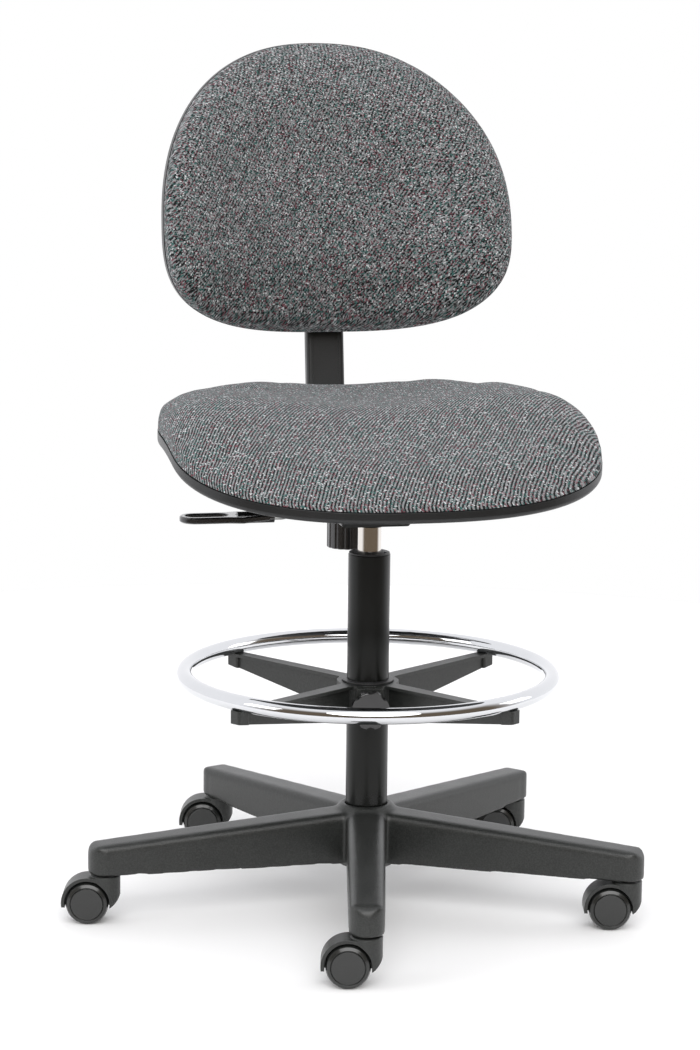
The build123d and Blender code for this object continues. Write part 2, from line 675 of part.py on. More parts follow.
bar_floor = BAR_Z - BAR_T / 2
guide_half = BAR_WIDTH / 2 + SLIDE
with BuildPart() as mechanism_housing:
    with BuildSketch(Plane.YZ):
        with BuildLine():
            Polyline(
                (-56, plate_floor),
                (-56, HOUSING_FLOOR + 42),
                (-34, HOUSING_FLOOR),
                (HOUSING_REAR, HOUSING_FLOOR),
                (HOUSING_REAR, HOUSING_FLOOR + 34),
                (HOUSING_REAR - 18, plate_floor),
                close=True,
            )
        make_face()
    extrude(amount=HOUSING_HALF, both=True)
    upright_edges = mechanism_housing.edges().filter_by(
        lambda e: abs(abs(e.center().X) - HOUSING_HALF) < 1 and e.center().Z < plate_floor - 1
    )
    fillet(upright_edges, 5)
    with BuildSketch(Plane.YZ):
        with BuildLine():
            Polyline(
                (-56 + PLATE_T, plate_floor + 1),
                (-56 + PLATE_T, HOUSING_FLOOR + 42.7),
                (-34 + 1.7, HOUSING_FLOOR + PLATE_T),
                (HOUSING_REAR - PLATE_T, HOUSING_FLOOR + PLATE_T),
                (HOUSING_REAR - PLATE_T, HOUSING_FLOOR + 33.5),
                (HOUSING_REAR - 18.5 - PLATE_T, plate_floor + 1),
                close=True,
            )
        make_face()
    extrude(amount=HOUSING_HALF - PLATE_T, both=True, mode=Mode.SUBTRACT)
    # welded guide that the back bar slides in
    with BuildSketch(Plane.XZ.offset(-60)):
        with Locations((0, BAR_Z)):
            Rectangle(BAR_WIDTH + 2 * PLATE_T + 2, 2 * (BAR_Z - HOUSING_FLOOR) - 2 * FIT)
    extrude(amount=-(HOUSING_REAR + 4 - 60))
    with BuildSketch(Plane.XZ.offset(-BAR_FRONT + 20)):
        with Locations((0, BAR_Z)):
            Rectangle(2 * guide_half, BAR_T + 2 * SLIDE)
    extrude(amount=-(HOUSING_REAR + 10 - BAR_FRONT + 20), mode=Mode.SUBTRACT)
    # hole for the taper socket, a slot for the lever, and the depth knob's thread
    with BuildSketch(Plane.XY.offset(HOUSING_FLOOR - 1)):
        Circle(SOCKET_R + FIT)
    extrude(amount=PLATE_T + 2, mode=Mode.SUBTRACT)
    with BuildSketch(Plane.YZ.offset(-HOUSING_HALF - 1)):
        with Locations((0, LEVER_PIVOT_Z)):
            SlotCenterToCenter(7, 2 * LEVER_R + 3, rotation=90)
    extrude(amount=PLATE_T + 2, mode=Mode.SUBTRACT)
    with BuildSketch(Plane.XY.offset(HOUSING_FLOOR - 1)):
        with Locations((0, DEPTH_KNOB_Y)):
            Circle(CLAMP_STUD_R + RUN)
    extrude(amount=BAR_Z - HOUSING_FLOOR, mode=Mode.SUBTRACT)
save(mechanism_housing.part, "mechanism_housing")

with BuildPart() as taper_socket:
    with BuildSketch(Plane.XZ):
        with BuildLine():
            Polyline(
                (cylinder_radius(SOCKET_BOTTOM) + FIT, SOCKET_BOTTOM),
                (SOCKET_R - 3, SOCKET_BOTTOM),
                (SOCKET_R, SOCKET_BOTTOM + 4),
                (SOCKET_R, CYLINDER_TOP + 2),
                (cylinder_radius(CYLINDER_TOP + 2) + FIT, CYLINDER_TOP + 2),
                close=True,
            )
        make_face()
    revolve(axis=Axis.Z)
save(taper_socket.part, "taper_socket")

with BuildPart() as lever_pin:
    with BuildSketch(Plane.XZ.offset(13)):
        with Locations((LEVER_PIVOT_X, LEVER_PIVOT_Z)):
            Circle(4)
    extrude(amount=1.5)
    with BuildSketch(Plane.XZ.offset(-14)):
        with Locations((LEVER_PIVOT_X, LEVER_PIVOT_Z)):
            Circle(2.5)
    extrude(amount=27.5)
save(lever_pin.part, "lever_pin")

with BuildPart() as height_lever:
    with BuildSketch(Plane.XZ.offset(-8.5)):
        with Locations((LEVER_PIVOT_X, LEVER_PIVOT_Z)):
            Circle(6.5)
    extrude(amount=17)
    # pad that presses the valve pin
    with BuildSketch(Plane.XZ.offset(-6)):
        with BuildLine():
            Polyline(
                (LEVER_PIVOT_X, LEVER_PIVOT_Z + 4),
                (8, VALVE_TOP + 7),
                (8, VALVE_TOP + VALVE_GAP),
                (-6, VALVE_TOP + VALVE_GAP),
                (LEVER_PIVOT_X, LEVER_PIVOT_Z - 5),
                close=True,
            )
        make_face()
    extrude(amount=12)
    # round rod, stepped down and out to the handle
    with BuildLine(Plane.XZ) as rod_line:
        FilletPolyline(
            (LEVER_PIVOT_X - 4, LEVER_PIVOT_Z),
            (-62, LEVER_PIVOT_Z),
            (-100, HANDLE_Z),
            (-162, HANDLE_Z),
            radius=14,
        )
    with BuildSketch(Plane.YZ.offset(LEVER_PIVOT_X - 4)):
        with Locations((0, LEVER_PIVOT_Z)):
            Circle(LEVER_R)
    sweep(path=rod_line.line)
    with BuildSketch(Plane.XZ.offset(-10)):
        with Locations((LEVER_PIVOT_X, LEVER_PIVOT_Z)):
            Circle(2.5 + RUN)
    extrude(amount=20, mode=Mode.SUBTRACT)
save(height_lever.part, "height_lever")

HANDLE_T = 7.5
with BuildPart() as lever_handle:
    # a flat loop, flared to a point each side and round at its outer end
    with BuildSketch(Plane.XY.offset(HANDLE_Z - HANDLE_T / 2)) as handle_plan:
        with BuildLine():
            loop_mid = HANDLE_OUTER + HANDLE_HALF
            flare_x = HANDLE_INNER - 34
            waist_x = HANDLE_INNER - 52
            Line((HANDLE_INNER, -8), (flare_x, -HANDLE_HALF))
            Line((flare_x, -HANDLE_HALF), (waist_x, -HANDLE_HALF + 4))
            Line((waist_x, -HANDLE_HALF + 4), (loop_mid, -HANDLE_HALF + 4))
            ThreePointArc(
                (loop_mid, -HANDLE_HALF + 4), (HANDLE_OUTER + 4, 0), (loop_mid, HANDLE_HALF - 4)
            )
            Line((loop_mid, HANDLE_HALF - 4), (waist_x, HANDLE_HALF - 4))
            Line((waist_x, HANDLE_HALF - 4), (flare_x, HANDLE_HALF))
            Line((flare_x, HANDLE_HALF), (HANDLE_INNER, 8))
            Line((HANDLE_INNER, 8), (HANDLE_INNER, -8))
        make_face()
        with Locations((loop_mid + 13, 0)):
            SlotOverall(50, 2 * HANDLE_HALF - 22, mode=Mode.SUBTRACT)
    extrude(amount=HANDLE_T)
    rim = lever_handle.edges().filter_by(
        lambda e: abs(abs(e.center().Z - HANDLE_Z) - HANDLE_T / 2) < 0.1
    )
    chamfer(rim, 1.5)
    with BuildSketch(Plane.YZ.offset(HANDLE_INNER + 6)):
        with Locations((0, HANDLE_Z)):
            Circle(LEVER_R + 3)
    extrude(amount=-44)
    with BuildSketch(Plane.YZ.offset(HANDLE_INNER + 7)):
        with Locations((0, HANDLE_Z)):
            Circle(LEVER_R + FIT)
    extrude(amount=-(HANDLE_INNER + 7 + 162.3), mode=Mode.SUBTRACT)
save(lever_handle.part, "lever_handle")


# ---------------------------------------------------------------- seat
def seat_floor_line(lift):
    """The seat's side line, level behind and sloping down to the front, raised by lift."""
    return FilletPolyline(
        (SEAT_REAR + 20, SEAT_FLOOR + lift),
        (KNEE_Y, SEAT_FLOOR + lift),
        (SEAT_FRONT - 20, FRONT_FLOOR - 20 * floor_slope + lift),
        radius=KNEE_R,
    )


floor_slope = (SEAT_FLOOR - FRONT_FLOOR) / (KNEE_Y - SEAT_FRONT)


def seat_floor_at(y):
    """Height of the shell's underside at a distance back from the swivel axis."""
    return SEAT_FLOOR - floor_slope * max(0.0, KNEE_Y - y)


def seat_slab(low, high):
    """A face in the YZ plane between two seat lines."""
    with BuildSketch(Plane.YZ) as slab:
        with BuildLine():
            under = seat_floor_line(low)
            over = seat_floor_line(high)
            Line(under @ 0, over @ 0)
            Line(under @ 1, over @ 1)
        make_face()
    return slab.sketch


def seat_points(inset):
    """Points of the seat's plan, inset from its edge."""
    return blunt_oval(
        SEAT_HALF - inset, SEAT_FRONT + inset, SEAT_REAR - inset, SEAT_WIDEST, 2.5, 3.1
    )


with BuildPart() as seat_shell:
    with BuildSketch(Plane.XY.offset(FRONT_FLOOR - 30)):
        with BuildLine():
            Spline(*seat_points(0), periodic=True)
        make_face()
    extrude(amount=SEAT_FLOOR - FRONT_FLOOR + 100)
    extrude(seat_slab(0, SHELL_RIM), amount=SEAT_HALF + 5, both=True, mode=Mode.INTERSECT)
    rim = seat_shell.edges().filter_by(
        lambda e: e.center().Z < seat_floor_at(e.center().Y) + SHELL_RIM / 2
    )
    fillet(rim, RIM_R)
    # bosses down to the mechanism plate
    with BuildSketch(Plane.XY.offset(PLATE_TOP)):
        with Locations((0, PLATE_MID_Y)):
            with GridLocations(*BOLT_SPACING, 2, 2):
                Circle(12)
    extrude(amount=SEAT_FLOOR - PLATE_TOP + 1)
    with BuildSketch(Plane.XY.offset(FRONT_FLOOR - 30)) as inner_plan:
        with BuildLine():
            Spline(*seat_points(PLATE_T), periodic=True)
        make_face()
    inner = extrude(amount=SEAT_FLOOR - FRONT_FLOOR + 100, mode=Mode.PRIVATE)
    hollow = extrude(
        seat_slab(PLATE_T, SHELL_RIM + 30), amount=SEAT_HALF + 5, both=True, mode=Mode.PRIVATE
    )
    add(inner.intersect(hollow), mode=Mode.SUBTRACT)
    with BuildSketch(Plane.XY.offset(PLATE_TOP - 1)):
        with Locations((0, PLATE_MID_Y)):
            with GridLocations(*BOLT_SPACING, 2, 2):
                Circle(BOLT_R + 0.4)
    extrude(amount=30, mode=Mode.SUBTRACT)
save(seat_shell.part, "seat_shell")

with BuildPart() as seat_board:
    with BuildSketch(Plane.XY.offset(FRONT_FLOOR - 30)):
        with BuildLine():
            Spline(*seat_points(PLATE_T + 2 * FIT), periodic=True)
        make_face()
    extrude(amount=SEAT_FLOOR - FRONT_FLOOR + 100)
    extrude(
        seat_slab(PLATE_T + FIT, SHELL_RIM - FIT), amount=SEAT_HALF + 5, both=True,
        mode=Mode.INTERSECT,
    )
    with BuildSketch(Plane.XY.offset(PLATE_TOP)):
        with Locations((0, PLATE_MID_Y)):
            with GridLocations(*BOLT_SPACING, 2, 2):
                Circle(BOLT_R + FIT)
    extrude(amount=22, mode=Mode.SUBTRACT)
save(seat_board.part, "seat_board")

with BuildPart() as seat_cushion:
    with BuildSketch(Plane.XY.offset(FRONT_FLOOR - 30)):
        with BuildLine():
            Spline(*seat_points(0), periodic=True)
        make_face()
    extrude(amount=SEAT_FLOOR - FRONT_FLOOR + 150)
    with BuildSketch(Plane.YZ) as cushion_side:
        with BuildLine():
            base_line = seat_floor_line(SHELL_RIM + FIT)
            crown = Spline(
                (SEAT_REAR + 20, SEAT_FLOOR + SHELL_RIM + CUSHION_T - 12),
                (SEAT_REAR - 30, SEAT_FLOOR + SHELL_RIM + CUSHION_T),
                (KNEE_Y, SEAT_FLOOR + SHELL_RIM + CUSHION_T - 4),
                (SEAT_FRONT + 60, SEAT_FLOOR + 8),
                (SEAT_FRONT, FRONT_FLOOR + SHELL_RIM + 18),
                (SEAT_FRONT - 20, FRONT_FLOOR + SHELL_RIM + 6),
            )
            Line(base_line @ 0, crown @ 0)
            Line(base_line @ 1, crown @ 1)
        make_face()
    extrude(amount=SEAT_HALF + 5, both=True, mode=Mode.INTERSECT)
    # round the long top edges at both sides
    with BuildSketch(Plane.XZ) as cushion_end:
        with Locations((0, FRONT_FLOOR)):
            Rectangle(
                2 * SEAT_HALF + 2, SEAT_FLOOR + SHELL_RIM + CUSHION_T + 2 - FRONT_FLOOR,
                align=(Align.CENTER, Align.MIN),
            )
        fillet(cushion_end.vertices().group_by(Axis.Y)[-1], 24)
    extrude(amount=SEAT_HALF + 5, both=True, mode=Mode.INTERSECT)
save(seat_cushion.part, "seat_cushion")

with BuildPart() as mechanism_bolts:
    with BuildSketch(Plane.XY.offset(plate_floor - 5.5)):
        with Locations((0, PLATE_MID_Y)):
            with GridLocations(*BOLT_SPACING, 2, 2):
                RegularPolygon(7.2, 6)
    extrude(amount=5.5)
    with BuildSketch(Plane.XY.offset(plate_floor)):
        with Locations((0, PLATE_MID_Y)):
            with GridLocations(*BOLT_SPACING, 2, 2):
                Circle(BOLT_R)
    extrude(amount=24)
save(mechanism_bolts.part, "mechanism_bolts")

# ---------------------------------------------------------------- back bar
lean = radians(LEAN)


def bar_y(z):
    """Y of the upright's middle plane at a height."""
    return BAR_CORNER_Y + (z - BAR_Z) * tan(lean)


def upright_plane(z):
    """A plane square across the upright at a height: its x is X and its y points backward."""
    return Plane(origin=(0, bar_y(z), z), x_dir=(1, 0, 0), z_dir=(0, sin(lean), cos(lean)))


def facing_plane(z, back_by, backward):
    """A plane parallel to the upright's broad face, set back from its middle, facing either way."""
    way = 1 if backward else -1
    spot = Vector(0, bar_y(z), z) + back_by * Vector(0, cos(lean), -sin(lean))
    return Plane(origin=spot, x_dir=(1, 0, 0), z_dir=(0, way * cos(lean), -way * sin(lean)))


with BuildPart() as back_bar:
    with BuildLine(Plane.YZ) as bar_line:
        FilletPolyline(
            (BAR_FRONT, BAR_Z),
            (BAR_CORNER_Y, BAR_Z),
            (bar_y(BAR_TOP_Z), BAR_TOP_Z),
            radius=BAR_BEND_R,
        )
    with BuildSketch(Plane.XZ.offset(-BAR_FRONT)):
        with Locations((0, BAR_Z)):
            RectangleRounded(BAR_WIDTH, BAR_T, 1.2)
    sweep(path=bar_line.line)
save(back_bar.part, "back_bar")

cover_length = (COVER_SPAN[1] - COVER_SPAN[0]) / cos(lean)
with BuildPart() as bar_cover:
    with BuildSketch(upright_plane(COVER_SPAN[0])):
        RectangleRounded(COVER_WIDTH, COVER_T, 5)
        # recessed panels front and back leave a bead down each side
        for side in (-1, 1):
            with Locations((0, side * COVER_T / 2)):
                Rectangle(COVER_WIDTH - 15, 3, mode=Mode.SUBTRACT)
        Rectangle(BAR_WIDTH + 2 * FIT, BAR_T + 2 * FIT, mode=Mode.SUBTRACT)
    extrude(amount=cover_length)
save(bar_cover.part, "bar_cover")

with BuildPart() as depth_knob:
    with BuildSketch(Plane.XY.offset(KNOB_BOTTOM)):
        with Locations((0, DEPTH_KNOB_Y)):
            fluted_disc(KNOB_R, 16, 3)
    extrude(amount=KNOB_TOP - KNOB_BOTTOM - 6)
    fillet(depth_knob.faces().sort_by(Axis.Z)[0].outer_wire().edges(), 1.2)
    with BuildSketch(Plane.XY.offset(KNOB_TOP - 6)):
        with Locations((0, DEPTH_KNOB_Y)):
            Circle(12)
    extrude(amount=6)
    with BuildSketch(Plane.XY.offset(KNOB_TOP)):
        with Locations((0, DEPTH_KNOB_Y)):
            Circle(CLAMP_STUD_R)
    extrude(amount=bar_floor - SLIDE - KNOB_TOP)
save(depth_knob.part, "depth_knob")


# ---------------------------------------------------------------- backrest
def back_arc(shift):
    """The backrest rim's side line, near upright below and leaning back above."""
    rise, run = BACK_TOP - BACK_BOTTOM, BACK_RIM_TOP_Y - BACK_RIM_BOTTOM_Y
    points = []
    for share in (-0.06, 0.5, 1.04):
        y = BACK_RIM_BOTTOM_Y + run * share * abs(share) + shift
        points.append((y, BACK_BOTTOM + rise * share))
    return ThreePointArc(*points)


def back_slab(front, rear):
    """A face in the YZ plane between two shifted copies of the rim line."""
    with BuildSketch(Plane.YZ) as slab:
        with BuildLine():
            fore = back_arc(front)
            aft = back_arc(rear)
            Line(fore @ 0, aft @ 0)
            Line(fore @ 1, aft @ 1)
        make_face()
    return slab.sketch


back_axis = Axis((0, BACK_RIM_BOTTOM_Y + 21 - BACK_CURVE_R, 0), (0, 0, 1))


def back_points(inset):
    """Points of the backrest's outline from the front, inset from its edge."""
    return blunt_oval(
        BACK_HALF - inset, BACK_BOTTOM + inset, BACK_TOP - inset, BACK_WIDEST, 2.85, 2.25
    )


with BuildPart() as back_shell:
    with BuildSketch(Plane.XZ):
        with BuildLine():
            Spline(*back_points(0), periodic=True)
        make_face()
    extrude(amount=-500)
    revolve(back_slab(0, BACK_SHELL_D), axis=back_axis, mode=Mode.INTERSECT)
    rear_face = back_shell.faces().sort_by(Axis.Y)[-1]
    fillet(rear_face.outer_wire().edges(), RIM_R)
    screw_z = sum(BRACKET_SPAN) / 2
    with BuildSketch(facing_plane(screw_z, -BRACKET_T / 2 - PLATE_T, False)):
        with GridLocations(*BRACKET_SCREW_GRID, 2, 2):
            Circle(8)
    extrude(amount=22)
    with BuildSketch(Plane.XZ):
        with BuildLine():
            Spline(*back_points(PLATE_T), periodic=True)
        make_face()
    inner = extrude(amount=-500, mode=Mode.PRIVATE)
    hollow = revolve(
        back_slab(-60, BACK_SHELL_D - PLATE_T), axis=back_axis, mode=Mode.PRIVATE
    )
    add(inner.intersect(hollow), mode=Mode.SUBTRACT)
    with BuildSketch(facing_plane(screw_z, -BRACKET_T / 2 - PLATE_T + 1, False)):
        with GridLocations(*BRACKET_SCREW_GRID, 2, 2):
            Circle(3.2)
    extrude(amount=30, mode=Mode.SUBTRACT)
save(back_shell.part, "back_shell")

with BuildPart() as back_board:
    with BuildSketch(Plane.XZ):
        with BuildLine():
            Spline(*back_points(PLATE_T + 2 * FIT), periodic=True)
        make_face()
    extrude(amount=-500)
    revolve(
        back_slab(2 * FIT, BACK_SHELL_D - PLATE_T - FIT), axis=back_axis, mode=Mode.INTERSECT
    )
    with BuildSketch(facing_plane(screw_z, -BRACKET_T / 2 - PLATE_T, False)):
        with GridLocations(*BRACKET_SCREW_GRID, 2, 2):
            Circle(3.1)
    extrude(amount=40, mode=Mode.SUBTRACT)
save(back_board.part, "back_board")

with BuildPart() as back_cushion:
    with BuildSketch(Plane.XZ):
        with BuildLine():
            Spline(*back_points(0), periodic=True)
        make_face()
    extrude(amount=-500)
    revolve(back_slab(-BACK_CUSHION_T, -FIT), axis=back_axis, mode=Mode.INTERSECT)
    front_face = back_cushion.faces().sort_by(Axis.Y)[0]
    fillet(front_face.outer_wire().edges(), 18)
save(back_cushion.part, "back_cushion")

bracket_length = (BRACKET_SPAN[1] - BRACKET_SPAN[0]) / cos(lean)
with BuildPart() as back_bracket:
    with BuildSketch(upright_plane(BRACKET_SPAN[0])):
        RectangleRounded(BRACKET_WIDTH, BRACKET_T, 4)
        with Locations((0, -BRACKET_T / 2 - PLATE_T / 2 + 0.5)):
            Rectangle(BRACKET_FLANGE, PLATE_T - 1 + 1)
        Rectangle(BAR_WIDTH + 2 * SLIDE, BAR_T + 2 * SLIDE, mode=Mode.SUBTRACT)
    extrude(amount=bracket_length)
    with BuildSketch(facing_plane(screw_z, -BRACKET_T / 2 + 2, False)):
        with GridLocations(*BRACKET_SCREW_GRID, 2, 2):
            Circle(3.2)
    extrude(amount=10, mode=Mode.SUBTRACT)
    with BuildSketch(facing_plane(screw_z, BAR_T / 2, True)):
        Circle(CLAMP_STUD_R + RUN)
    extrude(amount=BRACKET_T, mode=Mode.SUBTRACT)
save(back_bracket.part, "back_bracket")

with BuildPart() as back_screws:
    head_plane = facing_plane(screw_z, -BRACKET_T / 2 + 0.7, True)
    with BuildSketch(head_plane):
        with GridLocations(*BRACKET_SCREW_GRID, 2, 2):
            Circle(5.2)
    extrude(amount=3.2)
    with BuildSketch(head_plane):
        with GridLocations(*BRACKET_SCREW_GRID, 2, 2):
            Circle(2.9)
    extrude(amount=-22)
save(back_screws.part, "back_screws")

with BuildPart() as back_knob:
    with BuildSketch(facing_plane(screw_z, BAR_T / 2 + SLIDE, True)):
        Circle(CLAMP_STUD_R)
    extrude(amount=(BRACKET_T - BAR_T) / 2 + 2)
    with BuildSketch(facing_plane(screw_z, BRACKET_T / 2 + 1, True)):
        Circle(10)
    extrude(amount=5)
    with BuildSketch(facing_plane(screw_z, BRACKET_T / 2 + 6, True)):
        fluted_disc(BACK_KNOB_R, 6, 9)
    extrude(amount=14)
save(back_knob.part, "back_knob")
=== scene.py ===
# %% [markdown]
# # Drafting chair
# The metal and moulded parts of this chair come from an engineering model that is already packed.
# This lesson dresses that frame: it gives every part a finish, and models the pieces that a solid
# model can't show well, such as the two upholstered cushions. Everything is in metres, with Z up,
# the floor at zero, and a sitter facing -Y.

import json
import math
from math import cos, pi, radians, sin

import bpy
from mathutils import Matrix, Vector


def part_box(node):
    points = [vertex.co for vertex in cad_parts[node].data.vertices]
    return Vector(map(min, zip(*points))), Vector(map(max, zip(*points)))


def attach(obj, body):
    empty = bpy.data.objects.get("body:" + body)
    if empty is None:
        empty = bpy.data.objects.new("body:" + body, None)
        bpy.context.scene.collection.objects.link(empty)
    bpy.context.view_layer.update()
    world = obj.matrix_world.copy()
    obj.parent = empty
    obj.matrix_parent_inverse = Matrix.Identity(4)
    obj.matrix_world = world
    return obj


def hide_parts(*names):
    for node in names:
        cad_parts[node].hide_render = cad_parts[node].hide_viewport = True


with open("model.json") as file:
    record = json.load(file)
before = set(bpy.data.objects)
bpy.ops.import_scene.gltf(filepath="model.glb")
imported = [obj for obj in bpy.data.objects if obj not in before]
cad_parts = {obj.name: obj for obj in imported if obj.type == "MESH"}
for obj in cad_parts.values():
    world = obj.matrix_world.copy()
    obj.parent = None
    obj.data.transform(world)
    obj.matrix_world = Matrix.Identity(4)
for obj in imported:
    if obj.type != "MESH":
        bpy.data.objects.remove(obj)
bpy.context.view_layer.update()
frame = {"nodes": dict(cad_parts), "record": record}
nodes = frame["nodes"]

# %% [markdown]
# ## Two habits for modelling in code
# Blender's operators act on whatever is selected, so each piece starts by deselecting everything.
# A piece is finished by applying its modifiers and its place, so that its origin is the world's
# origin: a pattern that reads Object coordinates then stays put when the chair moves.


# %% Helpers for starting and finishing a piece
def start_clean():
    """Leaves edit mode and deselects everything."""
    active = bpy.context.view_layer.objects.active
    if active and active.mode != "OBJECT":
        bpy.ops.object.mode_set(mode="OBJECT")
    bpy.ops.object.select_all(action="DESELECT")


def only(piece):
    """Selects one object and makes it active."""
    start_clean()
    piece.select_set(True)
    bpy.context.view_layer.objects.active = piece
    return piece


def named(name):
    """Names the active object and its mesh."""
    piece = bpy.context.active_object
    piece.name = piece.data.name = name
    return piece


def modify(piece, kind, **settings):
    """Adds a modifier, sets it, and applies it."""
    only(piece)
    modifier = piece.modifiers.new(kind.title(), kind)
    for key, value in settings.items():
        setattr(modifier, key, value)
    bpy.ops.object.modifier_apply(modifier=modifier.name)
    return piece


def mesh_piece(name, points, faces):
    """A new object from points and faces."""
    mesh = bpy.data.meshes.new(name)
    mesh.from_pydata(points, [], faces)
    mesh.validate()
    piece = bpy.data.objects.new(name, mesh)
    bpy.context.scene.collection.objects.link(piece)
    return piece


def settle(piece, angle=35):
    """Applies the place of a piece and shades it smooth below an angle."""
    only(piece)
    bpy.ops.object.transform_apply(location=True, rotation=True, scale=True)
    bpy.ops.object.shade_smooth_by_angle(angle=radians(angle))
    return piece


def face_outward(piece):
    """Merges doubles and points every face outward."""
    only(piece)
    bpy.ops.object.mode_set(mode="EDIT")
    bpy.ops.mesh.select_all(action="SELECT")
    bpy.ops.mesh.remove_doubles(threshold=1e-5)
    bpy.ops.mesh.normals_make_consistent(inside=False)
    bpy.ops.object.mode_set(mode="OBJECT")
    return piece


def centre_of(node):
    """The middle of a solid part's box."""
    low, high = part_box(node)
    return (low + high) / 2


print("helpers ready")

# %% [markdown]
# ## Shader maths as expressions
# A node material is a small program. One class wraps a socket and overloads the arithmetic signs,
# so a mask is written the way it is said, and one method makes any other node.


# %% The socket class and the material maker
class Val:
    """A number that varies over a surface, so that sums on it can be written as sums."""

    def __init__(self, paint, socket):
        self.paint, self.socket = paint, socket

    def math(self, operation, *others, clamp=False):
        node = self.paint.tree.nodes.new("ShaderNodeMath")
        node.operation, node.use_clamp = operation, clamp
        for slot, value in zip(node.inputs, (self, *others)):
            self.paint.feed(slot, value)
        return Val(self.paint, node.outputs[0])

    def __add__(self, other):
        return self.math("ADD", other)

    def __sub__(self, other):
        return self.math("SUBTRACT", other)

    def __rsub__(self, other):
        return (self * -1) + other

    def __mul__(self, other):
        return self.math("MULTIPLY", other)

    def __truediv__(self, other):
        return self.math("DIVIDE", other)

    def __pow__(self, other):
        return self.math("POWER", other)

    __radd__, __rmul__ = __add__, __mul__

    def between(self, low, high):
        """Rises from 0 at low to 1 at high, smoothly."""
        out = self.paint.node("ShaderNodeMapRange", {"interpolation_type": "SMOOTHSTEP"},
                              {"Value": self, "From Min": low, "From Max": high})
        return Val(self.paint, out.outputs["Result"])


class Paint:
    """One material, with a Principled shader whose sockets are set by name."""

    def __init__(self, name, **sockets):
        self.material = bpy.data.materials.new(name)
        self.material.use_nodes = True
        self.tree = self.material.node_tree
        self.shader = self.tree.nodes["Principled BSDF"]
        self.place = Val(self, self.node("ShaderNodeTexCoord").outputs["Object"])
        self.set(**sockets)

    def feed(self, slot, value):
        if isinstance(value, Val):
            self.tree.links.new(value.socket, slot)
        elif hasattr(slot.default_value, "__len__"):
            colour = list(value) + [1.0] * (len(slot.default_value) - len(value))
            slot.default_value = colour
        else:
            slot.default_value = value

    def node(self, kind, settings=None, values=None):
        node = self.tree.nodes.new(kind)
        for key, value in (settings or {}).items():
            setattr(node, key, value)
        for key, value in (values or {}).items():
            self.feed(node.inputs[key], value)
        return node

    def set(self, **sockets):
        for key, value in sockets.items():
            self.feed(self.shader.inputs[key.replace("_", " ")], value)
        return self

    def noise(self, size, detail=3.0, rough=0.55, where=None):
        """Cloudy noise with features of about that size, in metres, from 0 to 1."""
        out = self.node("ShaderNodeTexNoise", {}, {
            "Vector": where or self.place, "Scale": 1 / size, "Detail": detail,
            "Roughness": rough})
        return Val(self, out.outputs["Fac"])

    def cells(self, size, where=None):
        """Distance from the nearest cell centre, for grains and pebbles."""
        out = self.node("ShaderNodeTexVoronoi", {}, {
            "Vector": where or self.place, "Scale": 1 / size})
        return Val(self, out.outputs["Distance"])

    def mix(self, share, first, second):
        """A colour between two, by share."""
        out = self.node("ShaderNodeMix", {"data_type": "RGBA"}, {0: share, 6: first, 7: second})
        return Val(self, out.outputs[2])

    def bump(self, height, depth, strength=1.0, under=None):
        """Turns a height from 0 to 1 into a surface normal; depth is in metres."""
        values = {"Height": height, "Distance": depth, "Strength": strength}
        if under is not None:
            values["Normal"] = under
        return Val(self, self.node("ShaderNodeBump", {}, values).outputs[0])

    def soft_edges(self, radius):
        """A normal that rounds every sharp edge by a small radius."""
        out = self.node("ShaderNodeBevel", {"samples": 6}, {"Radius": radius})
        return Val(self, out.outputs[0])

    def edge_mask(self, rounded):
        """1 on worn edges, 0 on flats: where the rounded normal leaves the true one."""
        true = Val(self, self.node("ShaderNodeNewGeometry").outputs["Normal"])
        dot = self.node("ShaderNodeVectorMath", {"operation": "DOT_PRODUCT"},
                        {0: rounded, 1: true})
        return (1 - Val(self, dot.outputs["Value"])).between(0.02, 0.2)


print("shader helpers ready")

# %% [markdown]
# ## Moulded plastics
# Glass-filled nylon is charcoal with a fine sparkle, because the mould was etched. The shells and
# covers are smoother and darker. Both get two sizes of grain: a pebble bump, and slow clouds in the
# colour, so that no area is one flat tone. The rounded-edge normal catches a thin line of light.


# %% Moulded plastic finishes
def moulded(name, dark, light, rough, grain, depth, edge=0.0008, coat=0.0):
    paint = Paint(name, Coat_Weight=coat, Coat_Roughness=0.10, Specular_IOR_Level=0.5)
    rounded = paint.soft_edges(edge)
    pebble = paint.cells(grain)
    clouds = paint.noise(0.05)
    speck = paint.noise(grain * 1.3, detail=1.0).between(0.3, 0.75)
    worn = paint.edge_mask(rounded)
    tone = paint.mix(speck * 0.55 + clouds * 0.45, dark, light)
    paint.set(
        Base_Color=paint.mix(worn * 0.35, tone, [min(1, v * 2.2) for v in light]),
        Roughness=(clouds * 0.14 + rough - 0.07) - worn * 0.12,
        Normal=paint.bump(pebble * 0.7 + speck * 0.3, depth, 0.55, under=rounded),
    )
    return paint


base_nylon = moulded("base_nylon", (0.008, 0.009, 0.0085), (0.032, 0.034, 0.032),
                     rough=0.36, grain=0.0013, depth=0.00030)
shell_plastic = moulded("shell_plastic", (0.006, 0.0065, 0.007), (0.015, 0.016, 0.017),
                        rough=0.38, grain=0.0009, depth=0.00012)
knob_plastic = moulded("knob_plastic", (0.007, 0.007, 0.0075), (0.016, 0.016, 0.017),
                       rough=0.26, grain=0.0009, depth=0.00003, coat=0.8)
wheel_nylon = moulded("wheel_nylon", (0.005, 0.0055, 0.005), (0.012, 0.013, 0.012),
                      rough=0.30, grain=0.0012, depth=0.00004, coat=0.5)
guide_nylon = moulded("guide_nylon", (0.020, 0.020, 0.021), (0.040, 0.040, 0.042),
                      rough=0.38, grain=0.0010, depth=0.00006)
stop_rubber = moulded("stop_rubber", (0.015, 0.015, 0.015), (0.030, 0.030, 0.030),
                      rough=0.8, grain=0.0012, depth=0.00008)
print("moulded finishes ready")

